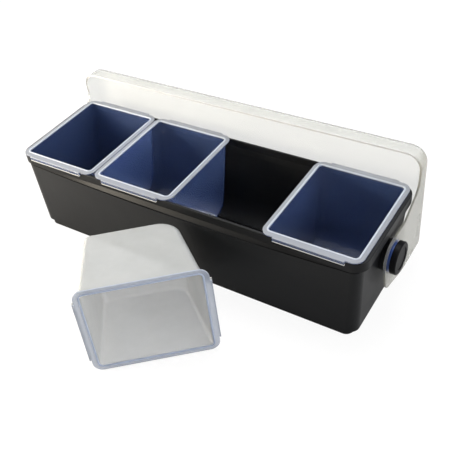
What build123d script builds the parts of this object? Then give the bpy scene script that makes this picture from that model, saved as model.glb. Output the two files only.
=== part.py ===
"""Bar garnish tray: a black trough with lift-out inserts and a hood that turns on two end knobs.

Millimetres, +Z up, +X along the trough, -Y towards the user.
The origin lies on the table, under the middle of the trough's mouth.
"""
from build123d import *
import math
import os

# Overrun past a face, so that a cut leaves no skin.
OVER = 2.0

# Insert: mouth, walls and profile.
BAY_COUNT = 4
FILLED_BAYS = (1, 2, 4)
BAY_PITCH = 120.0
RIM_GAP = 1.4
RIM_SIDE = 4.8
RIM_THICK = 1.8
RIM_CORNER = 12.0
RIM_EDGE = 0.6
MOUTH_DEPTH = 129.0
INSERT_WALL = 1.8
INSERT_DEPTH = 107.0
INSERT_EDGE = 6.0
INSERT_HEEL = 9.0
INSERT_SWEEP = 28.0
INSERT_SIDE_DRAFT = 2.4
INSERT_FRONT_DRAFT = 3.0
BACK_LEAN = 11.3
TAB_WIDTH = 84.0
TAB_DROP = 5.6
TAB_THICK = 2.0
TAB_CLEAR = 0.5

# Trough: rim, walls, bowed front and stepped foot.
SEAT_CLEAR = 0.3
LIP_CLEAR = 2.3
LIP_WIDTH = 3.0
LIP_END = 3.5
LIP_DROP = 12.0
LIP_CORNER = 16.0
LIP_EDGE = 0.8
LIP_STEP = 0.8
WALL = 2.6
WALL_CLEAR = 1.3
WALL_CORNER = 12.0
END_DRAFT = 3.2
FLOOR_GAP = 0.4
FRONT_TUCK = 1.0
FRONT_BOW = 7.3
BASE_BOW = 1.0
SHOULDER = 6.0
SHOULDER_TOP = 9.0
SHOULDER_STEP = 0.6
BACK_SWEEP = 45.0
SWEEP_SINK = 6.0
FOOT_HEIGHT = 8.0
FOOT_INSET = 1.2
FOOT_END_INSET = 6.0
FOOT_CORNER = 10.0
FOOT_EDGE = 1.2

# Pivot: boss on each end wall, ear of the hood, and the knob that holds it.
PIVOT_DROP = 45.0
BOSS_RADIUS = 18.5
BOSS_PROUD = 0.3
EAR_CLEAR = 0.4
STUD_RADIUS = 5.0
STUD_CLEAR = 0.05
STUD_SEAT = 4.5
STUD_GRIP = 7.5
STUD_POINT = 1.0
EAR_HOLE_CLEAR = 0.08
HUB_RADIUS = 16.0
HUB_HEIGHT = 2.8
KNOB_RADIUS = 19.5
KNOB_THICK = 7.2
KNOB_EDGE = 1.6
KNOB_BACK_EDGE = 0.8
KNOB_DISH_RADIUS = 14.0
KNOB_DISH = 0.8
KNOB_GAP = 0.3

# Hood, given as it hangs open behind the trough; rises and drops are from the pivot.
HOOD_WALL = 2.4
HOOD_REACH = 96.8
HOOD_LIFT_CLEAR = 0.7
HOOD_TOP = 85.0
HOOD_FLOOR_CLEAR = 2.0
HOOD_CORNER = 20.0
HOOD_FOLD = 6.0
EAR_RADIUS = 22.0
EAR_RISE = 42.0
EAR_NECK = 36.0
EAR_FILLET = 22.0
LOBE_DROP = 40.0
LOBE_REACH = 15.0
LOBE_FILLET = 12.0

# The insert that lies on the table in front of the trough: the middle of its mouth's lower edge, and its turn.
LOOSE_X = 52.0
LOOSE_Y = -196.0
LOOSE_TURN = 41.0

# Sizes that follow from those above.
rim_width = BAY_PITCH - RIM_GAP
insert_width = rim_width - 2 * RIM_SIDE
insert_half = MOUTH_DEPTH / 2 + INSERT_WALL
mouth_half = insert_half + LIP_CLEAR
lip_half = mouth_half + LIP_WIDTH
rim_half = lip_half + TAB_CLEAR + TAB_THICK
lip_length = BAY_COUNT * BAY_PITCH + 2 * LIP_END
floor_top = FOOT_HEIGHT + WALL
rim_top = floor_top + FLOOR_GAP + INSERT_DEPTH
lip_top = rim_top - RIM_THICK - SEAT_CLEAR
lip_bottom = lip_top - LIP_DROP
inner_length = BAY_COUNT * BAY_PITCH - RIM_GAP - 2 * RIM_SIDE + 2 * WALL_CLEAR
body_length = inner_length + 2 * WALL
body_half = insert_half + WALL_CLEAR + WALL
neck_z = lip_top - SHOULDER_TOP
wall_top = neck_z - SHOULDER
pivot_z = rim_top - PIVOT_DROP
boss_face = lip_length / 2 + BOSS_PROUD
ear_inner = boss_face + EAR_CLEAR
ear_outer = ear_inner + HOOD_WALL
hub_face = ear_outer + HUB_HEIGHT
knob_inner = hub_face + KNOB_GAP
hood_rim = rim_half + HOOD_LIFT_CLEAR
hood_top = pivot_z + HOOD_TOP
lean = math.radians(BACK_LEAN)

def end_plane(side, x, towards):
    """Plane square to X at the pivot, on the left (-1) or right (1) end, facing out (1) or in (-1)."""
    return Plane(origin=(side * x, 0, pivot_z), x_dir=(0, 1, 0), z_dir=(side * towards, 0, 0))


def bowed_sketch(z, half_x, front_y, bow, back_y):
    """Level section with straight ends and back and a front that bows out."""
    with BuildSketch(Plane.XY.offset(z)) as section:
        with BuildLine():
            ThreePointArc((-half_x, front_y), (0, front_y - bow), (half_x, front_y))
            Polyline((half_x, front_y), (half_x, back_y), (-half_x, back_y), (-half_x, front_y))
        make_face()
    return section.sketch


def wall_block(inset, low_z):
    """Solid of the trough's walls from low_z up to the shoulder, moved in by inset on every wall."""
    low_front = -(body_half + FRONT_TUCK) + inset
    top_front = -body_half + inset
    back_top = body_half - inset / math.cos(lean)
    half_top = body_length / 2 - inset
    sweep_z = FOOT_HEIGHT - SWEEP_SINK + inset
    front_reach = body_half + FRONT_BOW + OVER
    top_z = wall_top - inset
    with BuildPart() as block:
        add(bowed_sketch(low_z, half_top - END_DRAFT, low_front, BASE_BOW, body_half))
        add(bowed_sketch(top_z, half_top, top_front, FRONT_BOW, body_half))
        loft(ruled=True)
        with BuildSketch(Plane.YZ) as side_view:
            with BuildLine():
                Polyline(
                    (back_top + OVER * math.tan(lean), wall_top + OVER),
                    (back_top - math.tan(lean) * (wall_top - sweep_z), sweep_z),
                    (-front_reach, sweep_z),
                    (-front_reach, wall_top + OVER),
                    close=True,
                )
            make_face()
            fillet(side_view.vertices().group_by(Axis.Y)[0].sort_by(Axis.X)[-1], BACK_SWEEP - inset)
        extrude(amount=lip_length, both=True, mode=Mode.INTERSECT)
        ends = block.faces().sort_by(Axis.X)
        uprights = ends[0].edges() + ends[-1].edges()
        uprights = uprights.filter_by_position(Axis.Z, low_z + OVER, top_z - OVER)
        fillet(uprights, WALL_CORNER - inset)
    return block.part


def neck_block(inset):
    """Sloped shoulder from inside the bowed walls up to the straight lip, moved in by inset."""
    half_y = mouth_half if inset else lip_half - LIP_STEP
    low_z = wall_top - inset - OVER
    wall_back = body_half - inset / math.cos(lean) - (wall_top - low_z) * math.tan(lean)
    with BuildPart() as block:
        for z, tuck, front, bow, back in (
            (low_z, SHOULDER_STEP, -body_half + inset, FRONT_BOW, wall_back),
            (neck_z, 0, -half_y, 0, half_y),
        ):
            half_x = body_length / 2 - inset - tuck
            front += tuck
            back -= tuck
            with BuildSketch(Plane.XY.offset(z)) as section:
                with BuildLine():
                    if bow:
                        ThreePointArc((-half_x, front), (0, front - bow), (half_x, front))
                    else:
                        Line((-half_x, front), (half_x, front))
                    Polyline((half_x, front), (half_x, back), (-half_x, back), (-half_x, front))
                make_face()
                fillet(section.vertices(), WALL_CORNER - inset - tuck)
        loft(ruled=True)
    return block.part


def foot_block(z, inset, height):
    """Rounded block of the foot from height z up, moved in by inset."""
    sweep_z = FOOT_HEIGHT - SWEEP_SINK
    centre_z = sweep_z + BACK_SWEEP
    centre_y = body_half - math.tan(lean) * (wall_top - centre_z) - BACK_SWEEP / math.cos(lean)
    low_back = centre_y + math.sqrt(BACK_SWEEP**2 - (FOOT_HEIGHT - centre_z) ** 2)
    front = -(body_half + FRONT_TUCK) + FOOT_INSET + inset
    back = low_back - FOOT_INSET - inset
    half_x = body_length / 2 - END_DRAFT - FOOT_END_INSET - inset
    with BuildPart() as block:
        with BuildSketch(Plane(origin=(0, (front + back) / 2, z), x_dir=(1, 0, 0), z_dir=(0, 0, 1))):
            RectangleRounded(2 * half_x, back - front, FOOT_CORNER - inset)
        extrude(amount=height)
    return block.part


# Trough: walls, foot, shoulder, lip and bosses, then the hollow.
with BuildPart() as trough:
    add(wall_block(0, FOOT_HEIGHT))
    add(foot_block(0, 0, floor_top - WALL / 2))
    add(neck_block(0))
    with BuildSketch(Plane.XY.offset(lip_bottom)):
        RectangleRounded(lip_length, 2 * lip_half, LIP_CORNER)
    extrude(amount=LIP_DROP)
    fillet(trough.faces().sort_by(Axis.Z)[-1].edges(), LIP_EDGE)
    fillet(trough.faces().sort_by(Axis.Z)[0].edges(), FOOT_EDGE)
    for side in (-1, 1):
        with BuildSketch(end_plane(side, boss_face, -1)):
            Circle(BOSS_RADIUS)
        extrude(amount=boss_face - body_length / 2 + END_DRAFT)

    add(wall_block(WALL, floor_top), mode=Mode.SUBTRACT)
    add(neck_block(WALL), mode=Mode.SUBTRACT)
    with BuildSketch(Plane.XY.offset(neck_z)):
        RectangleRounded(inner_length, 2 * mouth_half, WALL_CORNER - WALL)
    extrude(amount=SHOULDER_TOP + OVER, mode=Mode.SUBTRACT)
    add(foot_block(WALL, WALL, FOOT_HEIGHT + OVER), mode=Mode.SUBTRACT)
    for side in (-1, 1):
        with BuildSketch(end_plane(side, boss_face, -1)):
            Circle(STUD_RADIUS + STUD_CLEAR)
        extrude(amount=STUD_GRIP + STUD_CLEAR, mode=Mode.SUBTRACT)
trough.part.label = "trough"


def insert_body(inset, edge):
    """Insert without its rim, moved in by inset on every wall, with its side walls' edges rounded."""
    front = -insert_half + inset
    back = insert_half - inset
    bottom = rim_top - INSERT_DEPTH + inset
    fall = rim_top - bottom
    front_low = front + fall * math.tan(math.radians(INSERT_FRONT_DRAFT))
    back_low = back - fall * math.tan(lean)
    half_top = insert_width / 2 - inset
    half_low = half_top - INSERT_SIDE_DRAFT
    with BuildPart() as body:
        with BuildSketch(Plane.YZ) as side_view:
            with BuildLine():
                Polyline((front, rim_top), (front_low, bottom), (back_low, bottom), (back, rim_top), close=True)
            make_face()
            fillet(side_view.vertices().group_by(Axis.Y)[0].sort_by(Axis.X)[-1], INSERT_SWEEP - inset)
            fillet(side_view.vertices().group_by(Axis.Y)[0].sort_by(Axis.X)[0], INSERT_HEEL - inset)
        extrude(amount=half_top, both=True)
        with BuildSketch(Plane.XZ):
            with BuildLine():
                Polyline((-half_top, rim_top), (-half_low, bottom), (half_low, bottom), (half_top, rim_top))
                Line((half_top, rim_top), (-half_top, rim_top))
            make_face()
        extrude(amount=insert_half, both=True, mode=Mode.INTERSECT)
        sides = body.faces().filter_by(GeomType.PLANE).sort_by(Axis.X)
        walls = sides[0].edges() + sides[-1].edges()
        fillet(walls.filter_by_position(Axis.Z, bottom - OVER, rim_top - OVER), edge)
    return body.part


# Insert, in the middle of the trough; each filled bay has a copy of it.
with BuildPart() as insert:
    add(insert_body(0, INSERT_EDGE))
    with BuildSketch(Plane.XY.offset(rim_top)):
        RectangleRounded(rim_width, 2 * (rim_half - TAB_THICK), RIM_CORNER)
    extrude(amount=-RIM_THICK)
    with BuildSketch(Plane.XY.offset(rim_top)):
        Rectangle(TAB_WIDTH, 2 * rim_half)
        Rectangle(TAB_WIDTH, 2 * (rim_half - TAB_THICK), mode=Mode.SUBTRACT)
    extrude(amount=-TAB_DROP)
    add(insert_body(INSERT_WALL, INSERT_EDGE - INSERT_WALL), mode=Mode.SUBTRACT)
    fillet(insert.faces().sort_by(Axis.Z)[-1].edges(), RIM_EDGE)

bay_inserts = []
for bay in FILLED_BAYS:
    bay_x = (bay - (BAY_COUNT + 1) / 2) * BAY_PITCH
    with BuildPart() as bay_insert:
        add(insert.part.moved(Location((bay_x, 0, 0))))
    bay_insert.part.label = "insert_" + str(bay)
    bay_inserts.append(bay_insert)

# Loose insert, on one side wall: the rim's edge and the rounded edge of the bottom touch the table.
rim_edge_x = rim_width / 2
edge_share = 1 - INSERT_EDGE / INSERT_DEPTH
low_edge_x = insert_width / 2 - INSERT_SIDE_DRAFT * edge_share - INSERT_EDGE
edge_fall = INSERT_DEPTH - INSERT_EDGE - RIM_THICK
edge_reach = math.hypot(rim_edge_x - low_edge_x, edge_fall)
rest_lean = math.atan2(rim_edge_x - low_edge_x, edge_fall) - math.asin(INSERT_EDGE / edge_reach)
turn = math.radians(LOOSE_TURN)
facing = Vector(math.sin(turn), -math.cos(turn), 0)
up = Vector(0, 0, 1)
stand = Plane(
    origin=(LOOSE_X, LOOSE_Y, 0),
    x_dir=facing * math.sin(rest_lean) - up * math.cos(rest_lean),
    z_dir=facing * math.cos(rest_lean) + up * math.sin(rest_lean),
)
with BuildPart() as insert_loose:
    add(insert.part.moved(stand.location * Location((-rim_edge_x, 0, RIM_THICK - rim_top))))
insert_loose.part.label = "insert_loose"


def hood_block(inset, fold):
    """Rounded block of the hood, moved in by inset, with the fold round its panel's edge."""
    height = hood_top - HOOD_FLOOR_CLEAR - 2 * inset
    middle = (hood_top + HOOD_FLOOR_CLEAR) / 2
    start = Plane(origin=(0, -EAR_RADIUS - OVER, middle), x_dir=(1, 0, 0), z_dir=(0, 1, 0))
    with BuildPart() as block:
        with BuildSketch(start):
            RectangleRounded(2 * (ear_outer - inset), height, HOOD_CORNER - inset)
        extrude(amount=HOOD_REACH + EAR_RADIUS + OVER - inset)
        fillet(block.faces().sort_by(Axis.Y)[-1].edges(), fold)
    return block.part


# Hood: a shell, cut to the side view of its skirt and ears.
neck_corner = (hood_rim, pivot_z + EAR_RISE)
lobe_corner = (-LOBE_REACH, pivot_z - LOBE_DROP)
with BuildPart() as hood:
    add(hood_block(0, HOOD_FOLD))
    add(hood_block(HOOD_WALL, HOOD_FOLD - HOOD_WALL), mode=Mode.SUBTRACT)
    with BuildSketch(Plane.YZ) as hood_side:
        with BuildLine():
            Polyline(
                (hood_rim, hood_top + OVER),
                neck_corner,
                (EAR_NECK, pivot_z + EAR_RADIUS),
                (0, pivot_z + EAR_RADIUS),
                (-EAR_RADIUS, pivot_z),
                lobe_corner,
                (hood_rim, HOOD_FLOOR_CLEAR + HOOD_FOLD),
                (hood_rim, HOOD_FLOOR_CLEAR - OVER),
                (HOOD_REACH + OVER, HOOD_FLOOR_CLEAR - OVER),
                (HOOD_REACH + OVER, hood_top + OVER),
                close=True,
            )
        make_face()
        fillet(hood_side.vertices().sort_by_distance(neck_corner)[0], EAR_FILLET)
        fillet(hood_side.vertices().sort_by_distance(lobe_corner)[0], LOBE_FILLET)
        with Locations((0, pivot_z)):
            Circle(EAR_RADIUS)
    extrude(amount=ear_outer + OVER, both=True, mode=Mode.INTERSECT)
    for side in (-1, 1):
        with BuildSketch(end_plane(side, ear_outer, 1)):
            Circle(HUB_RADIUS)
        extrude(amount=HUB_HEIGHT)
        with BuildSketch(end_plane(side, hub_face, -1)):
            Circle(STUD_RADIUS + EAR_HOLE_CLEAR)
        extrude(amount=HUB_HEIGHT + HOOD_WALL + OVER, mode=Mode.SUBTRACT)
hood.part.label = "lid"

# Knob and stud at each end; the stud runs through the hood's ear into the boss.
pivots = []
for side, name in ((-1, "left"), (1, "right")):
    with BuildPart() as knob:
        with BuildSketch(end_plane(side, knob_inner, 1)):
            Circle(KNOB_RADIUS)
        extrude(amount=KNOB_THICK)
        inner_rim, outer_rim = knob.edges().filter_by(GeomType.CIRCLE).sort_by(Axis.X, reverse=side < 0)
        fillet(outer_rim, KNOB_EDGE)
        fillet(inner_rim, KNOB_BACK_EDGE)
        with BuildSketch(end_plane(side, knob_inner + KNOB_THICK, -1)):
            Circle(KNOB_DISH_RADIUS)
        extrude(amount=KNOB_DISH, taper=math.degrees(math.atan2(1, 1)), mode=Mode.SUBTRACT)
        with BuildSketch(end_plane(side, knob_inner, 1)):
            Circle(STUD_RADIUS)
        extrude(amount=STUD_SEAT, mode=Mode.SUBTRACT)
    knob.part.label = "knob_" + name
    with BuildPart() as stud:
        with BuildSketch(end_plane(side, boss_face - STUD_GRIP, 1)):
            Circle(STUD_RADIUS)
        extrude(amount=STUD_GRIP + knob_inner - boss_face + STUD_SEAT)
        chamfer(stud.edges().filter_by(GeomType.CIRCLE).sort_by(Axis.X, reverse=side < 0)[0], STUD_POINT)
    stud.part.label = "pivot_stud_" + name
    pivots += [knob, stud]

os.makedirs("parts", exist_ok=True)
for piece in [trough, *bay_inserts, insert_loose, hood, *pivots]:
    export_step(piece.part, "parts/" + piece.part.label + ".step")
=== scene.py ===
"""Bar garnish tray, dressed for its render.

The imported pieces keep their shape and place. This file gives them their plastics and their steel,
adds the raised bead round each insert's mouth, and sets the table, the lamps and the camera.
All lengths are in metres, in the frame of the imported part: +Z up, +X to the right end, -Y to the user.
"""

from __future__ import annotations

import logging
import math
from dataclasses import dataclass, replace
from enum import Enum
from typing import Any

import bpy
from mathutils import Matrix, Vector


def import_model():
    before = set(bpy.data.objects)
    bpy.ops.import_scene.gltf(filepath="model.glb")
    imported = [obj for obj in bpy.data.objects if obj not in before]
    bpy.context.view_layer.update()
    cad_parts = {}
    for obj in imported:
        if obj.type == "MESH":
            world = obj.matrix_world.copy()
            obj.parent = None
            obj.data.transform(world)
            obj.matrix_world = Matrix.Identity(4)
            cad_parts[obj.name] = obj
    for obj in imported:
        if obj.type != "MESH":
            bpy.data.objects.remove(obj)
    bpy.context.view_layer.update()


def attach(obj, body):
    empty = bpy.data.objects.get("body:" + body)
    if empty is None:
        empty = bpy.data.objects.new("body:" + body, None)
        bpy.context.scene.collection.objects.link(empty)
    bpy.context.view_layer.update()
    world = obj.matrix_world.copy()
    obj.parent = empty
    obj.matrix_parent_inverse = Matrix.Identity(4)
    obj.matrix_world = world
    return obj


log = logging.getLogger("garnish_tray")

Colour = tuple[float, float, float]
Triple = tuple[float, float, float]

MM = 0.001
WHITE: Colour = (1.0, 1.0, 1.0)

# How much of the white background a reflection shows. A larger share lightens the black trough.
GLOSS_SHARE = 0.35

# Length of one band of a Wave texture whose scale is 1.
BAND_LENGTH = 0.314

# Places of a Mix node's colour sockets, whose names repeat those of its other kinds.
MIX_FACTOR = 0
MIX_LOW = 6
MIX_HIGH = 7
MIX_RESULT = 2


class Piece(Enum):
    """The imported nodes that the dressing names."""

    TROUGH = "trough"
    HOOD = "lid"
    INSERT_1 = "insert_1"
    INSERT_2 = "insert_2"
    INSERT_4 = "insert_4"
    LOOSE_INSERT = "insert_loose"
    KNOB_LEFT = "knob_left"
    KNOB_RIGHT = "knob_right"
    STUD_LEFT = "pivot_stud_left"
    STUD_RIGHT = "pivot_stud_right"


class Body(Enum):
    """The bodies that the beads ride on."""

    INSERT_1 = "first_insert"
    INSERT_2 = "second_insert"
    INSERT_4 = "fourth_insert"
    LOOSE_INSERT = "loose_insert"


class Slot(Enum):
    """The name of the material slot insert_plastic, which this script gives to no piece."""

    INSERT = "insert_plastic"


class Exit(Enum):
    """The output node that a web of nodes ends in."""

    MATERIAL = "ShaderNodeOutputMaterial"
    WORLD = "ShaderNodeOutputWorld"


class Sock:
    """A shader socket that takes part in Python arithmetic."""

    def __init__(self, web: Web, socket: bpy.types.NodeSocket | None) -> None:
        """Keeps the socket and the web that it belongs to.

        Args:
            web: The web of nodes.
            socket: The output socket to wrap, or None for a node without outputs.
        """
        self.web = web
        self.socket = socket

    def _math(self, operation: str, *terms: Sock | float) -> Sock:
        """Adds one Math node.

        Args:
            operation: Name of the operation.
            terms: Its values or sockets, in order.

        Returns:
            The node's output.
        """
        return self.web.node("ShaderNodeMath", {"operation": operation}, dict(enumerate(terms)))

    def __add__(self, other: Sock | float) -> Sock:
        """Sum."""
        return self._math("ADD", self, other)

    __radd__ = __add__

    def __sub__(self, other: Sock | float) -> Sock:
        """Difference."""
        return self._math("SUBTRACT", self, other)

    def __rsub__(self, other: float) -> Sock:
        """Difference from a number."""
        return self._math("SUBTRACT", other, self)

    def __mul__(self, other: Sock | float) -> Sock:
        """Product."""
        return self._math("MULTIPLY", self, other)

    __rmul__ = __mul__

    def __abs__(self) -> Sock:
        """Size without its sign."""
        return self._math("ABSOLUTE", self)

    def at_least(self, other: Sock | float) -> Sock:
        """The larger of the two."""
        return self._math("MAXIMUM", self, other)

    def over(self, low: Sock | float, high: Sock | float) -> Sock:
        """Goes from the low value to the high one as this mask goes from 0 to 1."""
        return low * (1.0 - self) + high * self


@dataclass(frozen=True)
class Cloud:
    """A smooth noise: the size of its patches, its octaves and the weight of the finer ones."""

    size: float
    octaves: float = 3.0
    fineness: float = 0.55


class Web:
    """The nodes of one material or of the world, added through one method."""

    def __init__(self, owner: bpy.types.Material | bpy.types.World) -> None:
        """Empties the owner's node tree.

        Args:
            owner: The new material or world.
        """
        self.owner = owner
        owner.use_nodes = True
        self.tree = owner.node_tree
        self.tree.nodes.clear()

    def node(
        self,
        kind: str,
        settings: dict[str, Any] | None = None,
        inputs: dict[str | int, Any] | None = None,
        output: str | int = 0,
    ) -> Sock:
        """Adds a node, with its settings first and then its sockets.

        Args:
            kind: Type of the node.
            settings: Attributes; "stops" fills a colour ramp.
            inputs: Values or sockets by name or place.
            output: Which output to return.

        Returns:
            The chosen output, or the node's first one.
        """
        made = self.tree.nodes.new(kind)
        for key, value in (settings or {}).items():
            if key == "stops":
                ramp = made.color_ramp.elements
                while len(ramp) < len(value):
                    ramp.new(1.0)
                for element, (place, colour) in zip(ramp, value):
                    element.position = place
                    element.color = (*colour, 1.0)
            else:
                setattr(made, key, value)
        for key, value in (inputs or {}).items():
            if isinstance(value, Sock):
                self.tree.links.new(value.socket, made.inputs[key])
            else:
                made.inputs[key].default_value = value
        return Sock(self, made.outputs[output] if made.outputs else None)

    def place(self) -> Sock:
        """Object coordinates, in metres."""
        return self.node("ShaderNodeTexCoord", output="Object")

    def along(self, axis: Triple) -> Sock:
        """Measures how far a point lies along an axis.

        Args:
            axis: Unit vector.

        Returns:
            The distance from the origin, in metres.
        """
        ends = {0: self.place(), 1: axis}
        return self.node("ShaderNodeVectorMath", {"operation": "DOT_PRODUCT"}, ends, output="Value")

    def cloud(self, cloud: Cloud) -> Sock:
        """Adds a smooth noise.

        Args:
            cloud: The noise's patches.

        Returns:
            The noise's value, from 0 to 1.
        """
        return self.node(
            "ShaderNodeTexNoise",
            {"noise_dimensions": "3D"},
            {
                "Vector": self.place(),
                "Scale": 1.0 / cloud.size,
                "Detail": cloud.octaves,
                "Roughness": cloud.fineness,
            },
        )

    def past(self, value: Sock, start: float, fade: float) -> Sock:
        """Rises from 0 to 1 as a length grows past a limit.

        Args:
            value: The length, in metres.
            start: The limit.
            fade: Length over which the mask rises.

        Returns:
            The mask.
        """
        return self.node(
            "ShaderNodeMapRange",
            {"interpolation_type": "SMOOTHSTEP"},
            {"Value": value, "From Min": start, "From Max": start + fade},
        )

    def blend(self, factor: Sock, low: Sock, high: Colour) -> Sock:
        """Lays a plain colour over a varying one.

        Args:
            factor: From 0 to 1.
            low: The varying colour, seen at 0.
            high: The plain colour, seen at 1.

        Returns:
            The blended colour.
        """
        inputs = {MIX_FACTOR: factor, MIX_LOW: low, MIX_HIGH: (*high, 1.0)}
        return self.node("ShaderNodeMix", {"data_type": "RGBA"}, inputs, output=MIX_RESULT)

    def tint(self, factor: Sock, low: Colour, high: Colour) -> Sock:
        """Mixes two colours by a factor.

        Args:
            factor: From 0 to 1.
            low: Colour at 0.
            high: Colour at 1.

        Returns:
            The mixed colour.
        """
        return self.node("ShaderNodeValToRGB", {"stops": ((0.0, low), (1.0, high))}, {"Fac": factor})

    def relief(self, height: Sock, depth: float, before: Sock | None = None) -> Sock:
        """Bump from a height between 0 and 1.

        Args:
            height: The height.
            depth: Depth of a step from 0 to 1, in metres.
            before: Normal of a coarser bump below this one.

        Returns:
            The bumped normal.
        """
        inputs: dict[str | int, Any] = {"Height": height, "Distance": depth, "Strength": 1.0}
        if before is not None:
            inputs["Normal"] = before
        return self.node("ShaderNodeBump", None, inputs)

    def ray(self, kind: str) -> Sock:
        """1 for rays of one kind, as the Light Path node names it, and 0 for others."""
        return self.node("ShaderNodeLightPath", output=kind)

    def sees_white(self) -> Sock:
        """Tells the rays that meet a white background.

        Returns:
            1 for a ray from the camera or through clear plastic, GLOSS_SHARE for a reflection, else 0.
        """
        straight = self.ray("Is Camera Ray").at_least(self.ray("Is Transmission Ray"))
        return straight.at_least(self.ray("Is Glossy Ray") * GLOSS_SHARE)

    def surface(self, inputs: dict[str | int, Any]) -> Sock:
        """Adds a Principled surface with these inputs."""
        return self.node("ShaderNodeBsdfPrincipled", None, inputs)

    def mix(self, share: Sock, low: Sock, high: Sock) -> Sock:
        """Mixes two shaders, by the share of the second."""
        return self.node("ShaderNodeMixShader", None, {0: share, 1: low, 2: high})

    def close(
        self, shader: Sock, exit_node: Exit = Exit.MATERIAL
    ) -> bpy.types.Material | bpy.types.World:
        """Joins the shader to the output.

        Args:
            shader: The finished shader.
            exit_node: The output node.

        Returns:
            The material or world.
        """
        self.node(exit_node.value, None, {"Surface": shader})
        return self.owner


@dataclass(frozen=True)
class MouldedPlastic:
    """Opaque injection-moulded plastic with scuffs, a fine grain and soft mould waviness."""

    name: str
    colour: Colour = (0.005, 0.0055, 0.0065)
    worn: Colour = (0.0085, 0.009, 0.01)
    ior: float = 1.22
    roughness: float = 0.32
    roughness_span: float = 0.12
    patches: Cloud = Cloud(60 * MM, octaves=4.0)
    scuffs: Cloud = Cloud(6 * MM, octaves=6.0, fineness=0.7)
    scuff_tint_share: float = 0.4
    scuff_roughness_share: float = 0.5
    wave: Cloud = Cloud(38 * MM, octaves=1.0)
    wave_depth: float = 0.25 * MM
    grain: Cloud = Cloud(0.35 * MM, octaves=2.0)
    grain_depth: float = 0.012 * MM

    def material(self) -> bpy.types.Material:
        """Builds the material.

        Returns:
            The finished material.
        """
        web = Web(bpy.data.materials.new(self.name))
        patches = web.cloud(self.patches)
        scuffs = web.cloud(self.scuffs)
        tinted = patches * (1.0 - self.scuff_tint_share) + scuffs * self.scuff_tint_share
        dulled = patches * (1.0 - self.scuff_roughness_share) + scuffs * self.scuff_roughness_share
        wavy = web.relief(web.cloud(self.wave), self.wave_depth)
        shader = web.surface(
            {
                "Base Color": web.tint(tinted, self.colour, self.worn),
                "Roughness": self.roughness + self.roughness_span * dulled,
                "IOR": self.ior,
                "Normal": web.relief(web.cloud(self.grain), self.grain_depth, wavy),
            }
        )
        return web.close(shader)


@dataclass(frozen=True)
class HazyPlastic:
    """Clear polypropylene with a haze: blue over dark, pale over white, and in the rim a denser haze
    with painted light on it.

    The rim is what lies past the plane at rim_start along rim_axis. At the default start of 1 m no
    piece has one. Soft patches vary the walls' haze from haze_least of its share upwards by
    haze_span. The milky part is rougher than the clear part by milk_extra and varies by milk_span.
    """

    name: str
    haze: Colour = (0.13, 0.22, 0.56)
    haze_share: float = 0.12
    haze_least: float = 0.85
    haze_span: float = 0.3
    # Milk of the rim: partly a denser haze, partly painted light gathered in the rim.
    rim_haze_and_light: Colour = (0.32, 0.34, 0.375)
    rim_share: float = 0.6
    rim_axis: Triple = (0.0, 0.0, 1.0)
    rim_start: float = 1.0
    rim_fade: float = 1.2 * MM
    clear: Colour = (0.97, 0.98, 1.0)
    ior: float = 1.35
    roughness: float = 0.08
    roughness_span: float = 0.06
    milk_extra: float = 0.2
    milk_span: float = 0.1
    flow: Cloud = Cloud(40 * MM)
    swell: Cloud = Cloud(40 * MM, octaves=1.0)
    swell_depth: float = 0.06 * MM
    grain: Cloud = Cloud(0.5 * MM, octaves=2.0)
    grain_depth: float = 0.004 * MM

    def rim(self, web: Web) -> Sock:
        """Mask of the rim."""
        return web.past(web.along(self.rim_axis), self.rim_start, self.rim_fade)

    def haze_with(self, web: Web, flow: Sock, rim: Sock) -> tuple[Sock, Sock]:
        """Puts the walls' haze together with the rim's haze and painted light.

        Args:
            web: The material's web of nodes.
            flow: Soft patches from 0 to 1.
            rim: Mask of the rim.

        Returns:
            The haze's colour and its share.
        """
        walls = self.haze_share * (self.haze_least + self.haze_span * flow)
        return web.tint(rim, self.haze, self.rim_haze_and_light), rim.over(walls, self.rim_share)

    def haze_over(self, web: Web, flow: Sock) -> tuple[Sock, Sock]:
        """Spreads the haze over the piece.

        Args:
            web: The material's web of nodes.
            flow: Soft patches from 0 to 1.

        Returns:
            The haze's colour and its share.
        """
        return self.haze_with(web, flow, self.rim(web))

    def material(self) -> bpy.types.Material:
        """Builds the material.

        Returns:
            The finished material.
        """
        web = Web(bpy.data.materials.new(self.name))
        flow = web.cloud(self.flow)
        swollen = web.relief(web.cloud(self.swell), self.swell_depth)
        normal = web.relief(web.cloud(self.grain), self.grain_depth, swollen)
        haze, share = self.haze_over(web, flow)
        clear = web.surface(
            {
                "Base Color": web.tint(flow, self.clear, WHITE),
                "Roughness": self.roughness + self.roughness_span * flow,
                "IOR": self.ior,
                "Transmission Weight": 1.0,
                "Normal": normal,
            }
        )
        milk = web.surface(
            {
                "Base Color": haze,
                "Roughness": self.roughness + self.milk_extra + self.milk_span * flow,
                "IOR": self.ior,
                "Normal": normal,
            }
        )
        return web.close(web.mix(share, clear, milk))


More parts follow.
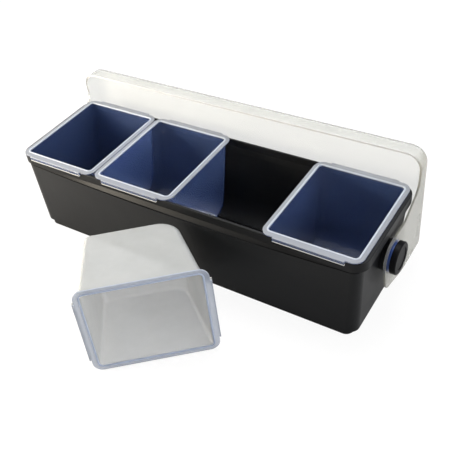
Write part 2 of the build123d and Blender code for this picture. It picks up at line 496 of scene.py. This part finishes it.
@dataclass(frozen=True)
class InsertPlastic(HazyPlastic):
    """The inserts' plastic, with a painted highlight along the lower edge of the two hanging tabs.

    The tabs lie past tab_reach on both sides of tab_middle along tab_axis, and their painted highlight
    lies tab_foot under the rim's plane.
    """

    tab_axis: Triple = (0.0, 1.0, 0.0)
    tab_middle: float = 0.0
    tab_reach: float = 72.2 * MM
    tab_foot: float = 2.9 * MM
    # Painted highlight along the tabs' lower edge.
    tab_edge_highlight: Colour = (0.62, 0.62, 0.58)
    tab_share: float = 0.85
    tab_fade: float = 0.3 * MM

    def haze_over(self, web: Web, flow: Sock) -> tuple[Sock, Sock]:
        """Spreads the haze over the insert and paints the highlight on the tabs' lower edge.

        Args:
            web: The material's web of nodes.
            flow: Soft patches from 0 to 1.

        Returns:
            The haze's colour and its share.
        """
        colour, share = super().haze_over(web, flow)
        aside = abs(web.along(self.tab_axis) - self.tab_middle)
        high = web.past(web.along(self.rim_axis), self.rim_start - self.tab_foot, self.tab_fade)
        # Mask of the tabs' lower edge, where the highlight is painted.
        foot = web.past(aside, self.tab_reach, self.tab_fade) * (1.0 - high)
        return web.blend(foot, colour, self.tab_edge_highlight), foot.over(share, self.tab_share)


@dataclass(frozen=True)
class HoodPlastic(HazyPlastic):
    """The hood's plastic: painted light along its cut edge, painted grey shade over its right end, deep
    blue at its hubs.
    """

    end_axis: Triple = (1.0, 0.0, 0.0)
    end_reach: float = 234 * MM
    end_fade: float = 12 * MM
    # Painted grey shade over the right end only; the left end has none.
    right_end_shade: Colour = (0.4, 0.395, 0.35)
    end_share: float = 0.4
    hub_haze: Colour = (0.05, 0.12, 0.42)
    hub_share: float = 0.75
    hub_radius: float = 17.5 * MM
    hub_fade: float = 2.5 * MM
    side_view: Triple = (0.0, 1.0, 1.0)
    pivot: Triple = (0.0, 0.0, 73 * MM)

    def from_pivot(self, web: Web) -> Sock:
        """Measures how far a point lies from the pivots' axis.

        Args:
            web: The material's web of nodes.

        Returns:
            The distance, in metres.
        """
        flatten = {0: web.place(), 1: self.side_view}
        flat = web.node("ShaderNodeVectorMath", {"operation": "MULTIPLY"}, flatten)
        ends = {0: flat, 1: self.pivot}
        return web.node("ShaderNodeVectorMath", {"operation": "DISTANCE"}, ends, output="Value")

    def haze_over(self, web: Web, flow: Sock) -> tuple[Sock, Sock]:
        """Spreads the haze over the hood, with painted grey shade on its right end and painted light on
        its cut edge.

        Args:
            web: The material's web of nodes.
            flow: Soft patches from 0 to 1.

        Returns:
            The haze's colour and its share.
        """
        across = web.along(self.end_axis)
        right_end = web.past(across, self.end_reach, self.end_fade)
        both_ends = web.past(abs(across), self.end_reach, self.end_fade)
        near_hub = 1.0 - web.past(self.from_pivot(web), self.hub_radius, self.hub_fade)
        hub = both_ends * near_hub
        # The rim mask marks the cut edge, where painted light goes, away from the ends.
        colour, share = self.haze_with(web, flow, self.rim(web) * (1.0 - both_ends))
        # Blends the painted grey shade into the right end, then the blue of the hubs.
        colour = web.blend(hub, web.blend(right_end, colour, self.right_end_shade), self.hub_haze)
        return colour, hub.over(right_end.over(share, self.end_share), self.hub_share)


@dataclass(frozen=True)
class TurnedSteel:
    """Steel turned on a lathe, with fine rings about the X axis."""

    name: str
    colour: Colour = (0.62, 0.61, 0.59)
    bright: Colour = (0.7, 0.69, 0.67)
    roughness: float = 0.28
    roughness_span: float = 0.15
    ring: float = 0.4 * MM
    ring_depth: float = 0.02 * MM
    ring_wander: float = 0.4
    ring_octaves: float = 2.0
    stain: Cloud = Cloud(4 * MM)

    def material(self) -> bpy.types.Material:
        """Builds the material.

        Returns:
            The finished material.
        """
        web = Web(bpy.data.materials.new(self.name))
        rings = web.node(
            "ShaderNodeTexWave",
            {"wave_type": "BANDS", "bands_direction": "X"},
            {
                "Vector": web.place(),
                "Scale": BAND_LENGTH / self.ring,
                "Distortion": self.ring_wander,
                "Detail": self.ring_octaves,
            },
            output="Fac",
        )
        stain = web.cloud(self.stain)
        shader = web.surface(
            {
                "Base Color": web.tint(stain, self.colour, self.bright),
                "Metallic": 1.0,
                "Roughness": self.roughness + self.roughness_span * stain,
                "Normal": web.relief(rings, self.ring_depth),
            }
        )
        return web.close(shader)


@dataclass(frozen=True)
class PaleTable:
    """A plain white table that keeps soft shadows: a glow where it is seen, laid over a diffuse body."""

    name: str = "pale_table"
    colour: Colour = (0.45, 0.45, 0.45)
    glow: float = 1.14
    glow_share: float = 0.8

    def material(self) -> bpy.types.Material:
        """Builds the material.

        Returns:
            The finished material.
        """
        web = Web(bpy.data.materials.new(self.name))
        rays = web.sees_white()
        body = web.node("ShaderNodeBsdfDiffuse", None, {"Color": (*self.colour, 1.0)})
        glow = {"Color": (*WHITE, 1.0), "Strength": self.glow}
        light = web.node("ShaderNodeEmission", None, glow)
        return web.close(web.mix(rays * self.glow_share, body, light))


class Form:
    """A Geometry Nodes tree with named inputs, built through one method."""

    def __init__(self, name: str) -> None:
        """Makes an empty tree with a geometry output.

        Args:
            name: Name of the tree.
        """
        self.tree = bpy.data.node_groups.new(name, "GeometryNodeTree")
        self.tree.interface.new_socket(
            name="Geometry", in_out="OUTPUT", socket_type="NodeSocketGeometry"
        )
        self.entry = self.tree.nodes.new("NodeGroupInput")

    def _input(self, name: str, kind: str) -> bpy.types.NodeSocket:
        """Adds a named input.

        Args:
            name: Name of the input.
            kind: Type of its socket.

        Returns:
            The socket inside the tree.
        """
        self.tree.interface.new_socket(name=name, in_out="INPUT", socket_type=kind)
        return self.entry.outputs[name]

    def length(self, name: str) -> bpy.types.NodeSocket:
        """Adds an input for a length, in metres."""
        return self._input(name, "NodeSocketFloat")

    def vector(self, name: str) -> bpy.types.NodeSocket:
        """Adds an input for a place or a turn."""
        return self._input(name, "NodeSocketVector")

    def finish(self, name: str) -> bpy.types.NodeSocket:
        """Adds an input for a material."""
        return self._input(name, "NodeSocketMaterial")

    def node(
        self,
        kind: str,
        settings: dict[str, Any] | None,
        inputs: dict[str | int, Any],
        output: str | int = 0,
    ) -> bpy.types.NodeSocket:
        """Adds a node, with its settings first and then its sockets.

        Args:
            kind: Type of the node.
            settings: Attributes.
            inputs: Values or sockets by name or place.
            output: Which output to return.

        Returns:
            The chosen output.
        """
        made = self.tree.nodes.new(kind)
        for key, value in (settings or {}).items():
            setattr(made, key, value)
        for key, value in inputs.items():
            if isinstance(value, bpy.types.NodeSocket):
                self.tree.links.new(value, made.inputs[key])
            else:
                made.inputs[key].default_value = value
        return made.outputs[output]

    def total(
        self, first: bpy.types.NodeSocket, second: bpy.types.NodeSocket
    ) -> bpy.types.NodeSocket:
        """Adds two lengths."""
        return self.node("ShaderNodeMath", {"operation": "ADD"}, {0: first, 1: second})

    def close(
        self, shape: bpy.types.NodeSocket, finish: bpy.types.NodeSocket
    ) -> bpy.types.NodeTree:
        """Smooths the shape, makes its copies real, gives it its finish and ends the tree.

        Args:
            shape: The finished geometry.
            finish: The material.

        Returns:
            The tree.
        """
        smooth = self.node("GeometryNodeSetShadeSmooth", None, {"Geometry": shape})
        real = self.node("GeometryNodeRealizeInstances", None, {"Geometry": smooth})
        done = self.node("GeometryNodeSetMaterial", None, {"Geometry": real, "Material": finish})
        exit_node = self.tree.nodes.new("NodeGroupOutput")
        self.tree.links.new(done, exit_node.inputs["Geometry"])
        return self.tree


def grow(name: str, tree: bpy.types.NodeTree, values: dict[str, Any]) -> bpy.types.Object:
    """Bakes a tree, with its inputs set, into a plain mesh at the origin.

    Args:
        name: Name of the piece.
        tree: The tree.
        values: Values of its inputs, by name.

    Returns:
        The piece.
    """
    seed = bpy.data.objects.new(name + "_seed", bpy.data.meshes.new(name + "_seed"))
    bpy.context.scene.collection.objects.link(seed)
    modifier = seed.modifiers.new("form", "NODES")
    modifier.node_group = tree
    inputs = [item for item in tree.interface.items_tree if item.in_out == "INPUT"]
    identifiers = {item.name: item.identifier for item in inputs}
    for key, value in values.items():
        modifier[identifiers[key]] = value
    bpy.context.view_layer.update()
    graph = bpy.context.evaluated_depsgraph_get()
    mesh = bpy.data.meshes.new_from_object(seed.evaluated_get(graph), depsgraph=graph)
    mesh.name = name
    seed.modifiers.remove(modifier)
    bpy.data.objects.remove(seed)
    piece = bpy.data.objects.new(name, mesh)
    bpy.context.scene.collection.objects.link(piece)
    return piece


def dress(piece: Piece, material: bpy.types.Material) -> None:
    """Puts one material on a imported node.

    Args:
        piece: The node.
        material: Its finish.
    """
    node = bpy.data.objects[piece.value]
    node.data.materials.clear()
    node.data.materials.append(material)
    log.info("dressed %s with %s", piece.value, material.name)


@dataclass
class Trough:
    """The black base with its rim, bosses and foot."""

    finish: MouldedPlastic = MouldedPlastic("black_trough_plastic")

    def build(self) -> None:
        """Dresses the trough."""
        dress(Piece.TROUGH, self.finish.material())


@dataclass
class Hood:
    """The translucent cover with its ears."""

    finish: HoodPlastic = HoodPlastic(
        "milky_hood_plastic",
        haze=(0.5, 0.51, 0.48),
        haze_share=0.15,
        # The rim here is the hood's front cut edge; its pale milk is painted light along that edge.
        rim_haze_and_light=(0.62, 0.62, 0.64),
        rim_share=0.75,
        rim_axis=(0.0, -1.0, 0.0),
        rim_start=-75.9 * MM,
        rim_fade=0.8 * MM,
        clear=(0.945, 0.95, 0.925),
        roughness=0.1,
        swell_depth=0.0,
        grain_depth=0.0,
    )

    def build(self) -> None:
        """Dresses the hood."""
        dress(Piece.HOOD, self.finish.material())


@dataclass(frozen=True)
class Seat:
    """Where one insert stands: its node, its body, and the place of its frame.

    The frame's origin is the middle of the insert's mouth, at the rim's top. Its Z points out of the
    mouth, and its Y runs from tab to tab.
    """

    piece: Piece
    body: Body
    place: Matrix


@dataclass
class Inserts:
    """The three seated inserts and the loose one, each with the bead that runs round its mouth.

    The loose insert's turn and lean are in degrees, and its place is the middle of the rim's edge
    that rests on the table.
    """

    bay_pitch: float = 120 * MM
    bay_count: int = 4
    rim_top: float = 118 * MM
    rim_thick: float = 1.8 * MM
    rim_half_width: float = 59.3 * MM
    mouth_width: float = 105.4 * MM
    mouth_depth: float = 129 * MM
    mouth_corner: float = 4.2 * MM
    bead_radius: float = 1.15 * MM
    bead_sink: float = 0.5 * MM
    bead_steps: int = 14
    corner_steps: int = 10
    loose_place: tuple[float, float] = (52 * MM, -196 * MM)
    loose_turn: float = 41.0
    loose_lean: float = 4.065
    finish: InsertPlastic = InsertPlastic("clear_insert_plastic")
    # The loose insert's copy of the insert plastic: a greyer, denser haze and its own rim colour,
    # painted to its light and shade on the table.
    loose_lit_copy_haze: Colour = (0.43, 0.444, 0.445)
    loose_share: float = 0.45
    loose_lit_copy_rim: Colour = (0.38, 0.43, 0.54)
    # The beads' paler milk: partly haze, partly a painted highlight along each mouth.
    bead_haze_and_highlight: Colour = (0.47, 0.51, 0.58)
    loose_bead_haze_and_highlight: Colour = (0.5, 0.58, 0.76)
    bead_share: float = 0.7

    def bay_place(self, bay: int) -> Matrix:
        """Place of a seated insert.

        Args:
            bay: Number of the bay, from 1 at the left end.

        Returns:
            The place of the insert's frame.
        """
        middle = (self.bay_count + 1) / 2
        return Matrix.Translation(((bay - middle) * self.bay_pitch, 0.0, self.rim_top))

    def loose_matrix(self) -> Matrix:
        """Place of the loose insert, which lies on its side and leans by its draft.

        Returns:
            The place of the insert's frame.
        """
        turn = math.radians(self.loose_turn)
        lean = math.radians(self.loose_lean)
        facing = Vector((math.sin(turn), -math.cos(turn), 0.0))
        rise = Vector((0.0, 0.0, 1.0))
        own_x = facing * math.sin(lean) - rise * math.cos(lean)
        own_z = facing * math.cos(lean) + rise * math.sin(lean)
        turned = Matrix((own_x, own_z.cross(own_x), own_z)).transposed().to_4x4()
        stand = Matrix.Translation((*self.loose_place, 0.0)) @ turned
        return stand @ Matrix.Translation((-self.rim_half_width, 0.0, self.rim_thick))

    def seats(self) -> list[Seat]:
        """Lists the inserts.

        Returns:
            One seat for each insert.
        """
        return [
            Seat(Piece.INSERT_1, Body.INSERT_1, self.bay_place(1)),
            Seat(Piece.INSERT_2, Body.INSERT_2, self.bay_place(2)),
            Seat(Piece.INSERT_4, Body.INSERT_4, self.bay_place(4)),
            Seat(Piece.LOOSE_INSERT, Body.LOOSE_INSERT, self.loose_matrix()),
        ]

    def bead_tree(self) -> bpy.types.NodeTree:
        """Makes the tree that runs a round bead along a rounded rectangle.

        Returns:
            The tree.
        """
        form = Form("mouth_bead")
        width = form.length("Mouth Width")
        depth = form.length("Mouth Depth")
        corner = form.length("Corner Radius")
        radius = form.length("Bead Radius")
        place = form.vector("Place")
        turn = form.vector("Turn")
        finish = form.finish("Finish")
        thick = form.total(radius, radius)
        path = form.node(
            "GeometryNodeCurvePrimitiveQuadrilateral",
            {"mode": "RECTANGLE"},
            {"Width": form.total(width, thick), "Height": form.total(depth, thick)},
        )
        path = form.node(
            "GeometryNodeFilletCurve",
            {"mode": "POLY"},
            {
                "Curve": path,
                "Radius": form.total(corner, radius),
                "Count": self.corner_steps,
                "Limit Radius": True,
            },
        )
        ring = form.node(
            "GeometryNodeCurvePrimitiveCircle",
            {"mode": "RADIUS"},
            {"Resolution": self.bead_steps, "Radius": radius},
        )
        bead = form.node("GeometryNodeCurveToMesh", None, {"Curve": path, "Profile Curve": ring})
        laid = {"Geometry": bead, "Translation": place, "Rotation": turn}
        return form.close(form.node("GeometryNodeTransform", None, laid), finish)

    def fitted(self, seat: Seat) -> InsertPlastic:
        """Fits the clear plastic's rim and tabs to one insert, and gives the loose one its copy with
        painted light and shade.

        Args:
            seat: The insert.

        Returns:
            Its finish.
        """
        turn = seat.place.to_3x3()
        out = turn @ Vector((0.0, 0.0, 1.0))
        aside = turn @ Vector((0.0, 1.0, 0.0))
        middle = seat.place.translation
        finish = replace(
            self.finish,
            name=f"{self.finish.name}_{seat.piece.value}",
            rim_axis=tuple(out),
            rim_start=out.dot(middle) - self.rim_thick,
            tab_axis=tuple(aside),
            tab_middle=aside.dot(middle),
        )
        # The loose insert takes the copy with its painted light and shade.
        if seat.piece is not Piece.LOOSE_INSERT:
            return finish
        return replace(
            finish, haze=self.loose_lit_copy_haze, haze_share=self.loose_share, rim_haze_and_light=self.loose_lit_copy_rim
        )

    def bead_finish(self, seat: Seat, wall: InsertPlastic) -> InsertPlastic:
        """Works out the finish of one insert's bead, whose paler milk is partly haze and partly a
        painted highlight along the mouth.

        Args:
            seat: The insert.
            wall: The insert's own finish.

        Returns:
            The bead's finish.
        """
        # The bead's colour carries the painted highlight along the mouth.
        haze = self.loose_bead_haze_and_highlight if seat.piece is Piece.LOOSE_INSERT else self.bead_haze_and_highlight
        name = f"bead_plastic_{seat.piece.value}"
        return replace(wall, name=name, rim_haze_and_light=haze, rim_share=self.bead_share)

    def build(self) -> None:
        """Dresses the inserts and adds their beads."""
        tree = self.bead_tree()
        for seat in self.seats():
            wall = self.fitted(seat)
            dress(seat.piece, wall.material())
            sunk = seat.place @ Matrix.Translation((0.0, 0.0, -self.bead_sink))
            values = {
                "Mouth Width": self.mouth_width,
                "Mouth Depth": self.mouth_depth,
                "Corner Radius": self.mouth_corner,
                "Bead Radius": self.bead_radius,
                "Place": sunk.translation,
                "Turn": Vector(sunk.to_euler()),
                "Finish": self.bead_finish(seat, wall).material(),
            }
            bead = grow(f"mouth_bead_{seat.piece.value}", tree, values)
            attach(bead, seat.body.value)
            log.info("added %s", bead.name)


@dataclass
class Knobs:
    """The two knobs and their studs."""

    plastic: MouldedPlastic = MouldedPlastic(
        "black_knob_plastic",
        colour=(0.004, 0.004, 0.005),
        worn=(0.007, 0.007, 0.008),
        ior=1.12,
        roughness=0.3,
        wave_depth=0.05 * MM,
    )
    steel: TurnedSteel = TurnedSteel("turned_steel")

    def build(self) -> None:
        """Dresses the knobs and studs."""
        black = self.plastic.material()
        steel = self.steel.material()
        for piece in (Piece.KNOB_LEFT, Piece.KNOB_RIGHT):
            dress(piece, black)
        for piece in (Piece.STUD_LEFT, Piece.STUD_RIGHT):
            dress(piece, steel)


@dataclass(frozen=True)
class Lamp:
    """One soft rectangular lamp, aimed at a point, with its power in watts."""

    name: str
    place: Triple
    aim: Triple
    size: tuple[float, float]
    power: float
    colour: Colour = WHITE

    def build(self) -> None:
        """Adds the lamp to the scene."""
        data = bpy.data.lights.new(self.name, "AREA")
        data.shape = "RECTANGLE"
        data.size, data.size_y = self.size
        data.energy = self.power
        data.color = self.colour
        lamp = bpy.data.objects.new(self.name, data)
        bpy.context.scene.collection.objects.link(lamp)
        aim = Vector(self.aim) - Vector(self.place)
        turn = aim.to_track_quat("-Z", "Y").to_matrix().to_4x4()
        lamp.matrix_world = Matrix.Translation(self.place) @ turn


@dataclass
class Studio:
    """The table, the world, the lamps and the camera.

    The camera stands where the photograph's perspective puts it. Its angles are in degrees, its
    focal length is in the photograph's pixels, and its sensor is in millimetres.
    """

    table_reach: float = 6.0
    world_level: float = 0.4
    camera_place: Triple = (0.4356, -0.5461, 0.6243)
    azimuth: float = 37.116
    elevation: float = 40.786
    roll: float = -7.673
    focal_pixels: float = 703.76
    frame_pixels: float = 450.0
    sensor: float = 36.0
    lamps: tuple[Lamp, ...] = (
        Lamp(
            "window_right",
            place=(1.6, 0.2, 0.8),
            aim=(0.1, 0.0, 0.05),
            size=(1.2, 1.0),
            power=20.0,
        ),
        Lamp(
            "window_top",
            place=(-0.3, 0.5, 1.8),
            aim=(-0.05, 0.0, 0.0),
            size=(1.4, 1.0),
            power=42.0,
        ),
        Lamp(
            "bounce_left",
            place=(-0.75, -0.5, 0.28),
            aim=(-0.3, -0.12, 0.03),
            size=(0.4, 0.35),
            power=19.0,
            colour=(1.0, 0.9, 0.74),
        ),
    )

    def build(self) -> None:
        """Builds the studio."""
        self.table()
        self.world()
        for lamp in self.lamps:
            lamp.build()
        self.camera()

    def table(self) -> None:
        """Lays the table."""
        reach = self.table_reach
        mesh = bpy.data.meshes.new("table_top")
        corners = [(x * reach, y * reach, 0.0) for x, y in ((-1, -1), (1, -1), (1, 1), (-1, 1))]
        mesh.from_pydata(corners, [], [(0, 1, 2, 3)])
        mesh.materials.append(PaleTable().material())
        table = bpy.data.objects.new("table_top", mesh)
        bpy.context.scene.collection.objects.link(table)

    def world(self) -> None:
        """Sets an even surround, which is white where it is seen and dimmer as a light."""
        web = Web(bpy.data.worlds.new("surround"))
        strength = self.world_level + (1.0 - self.world_level) * web.sees_white()
        back = {"Color": (*WHITE, 1.0), "Strength": strength}
        surround = web.close(web.node("ShaderNodeBackground", None, back), Exit.WORLD)
        bpy.context.scene.world = surround

    def camera(self) -> None:
        """Sets the camera of the photograph."""
        data = bpy.data.cameras.new("photo_camera")
        data.sensor_width = self.sensor
        data.lens = self.focal_pixels / self.frame_pixels * self.sensor
        camera = bpy.data.objects.new("photo_camera", data)
        bpy.context.scene.collection.objects.link(camera)
        turn = math.radians(self.azimuth)
        rise = math.radians(self.elevation)
        level = math.cos(rise)
        forward = Vector((-math.sin(turn) * level, math.cos(turn) * level, -math.sin(rise)))
        aimed = forward.to_track_quat("-Z", "Y").to_matrix().to_4x4()
        rolled = aimed @ Matrix.Rotation(math.radians(self.roll), 4, "Z")
        camera.matrix_world = Matrix.Translation(self.camera_place) @ rolled
        bpy.context.scene.camera = camera


def main() -> None:
    """Builds the dressed scene."""
    logging.basicConfig(level=logging.INFO)
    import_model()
    for part in (Trough(), Hood(), Inserts(), Knobs(), Studio()):
        part.build()
        log.info("built %s", type(part).__name__)
    bpy.context.scene.view_settings.view_transform = "Standard"


if __name__ == "__main__":
    main()
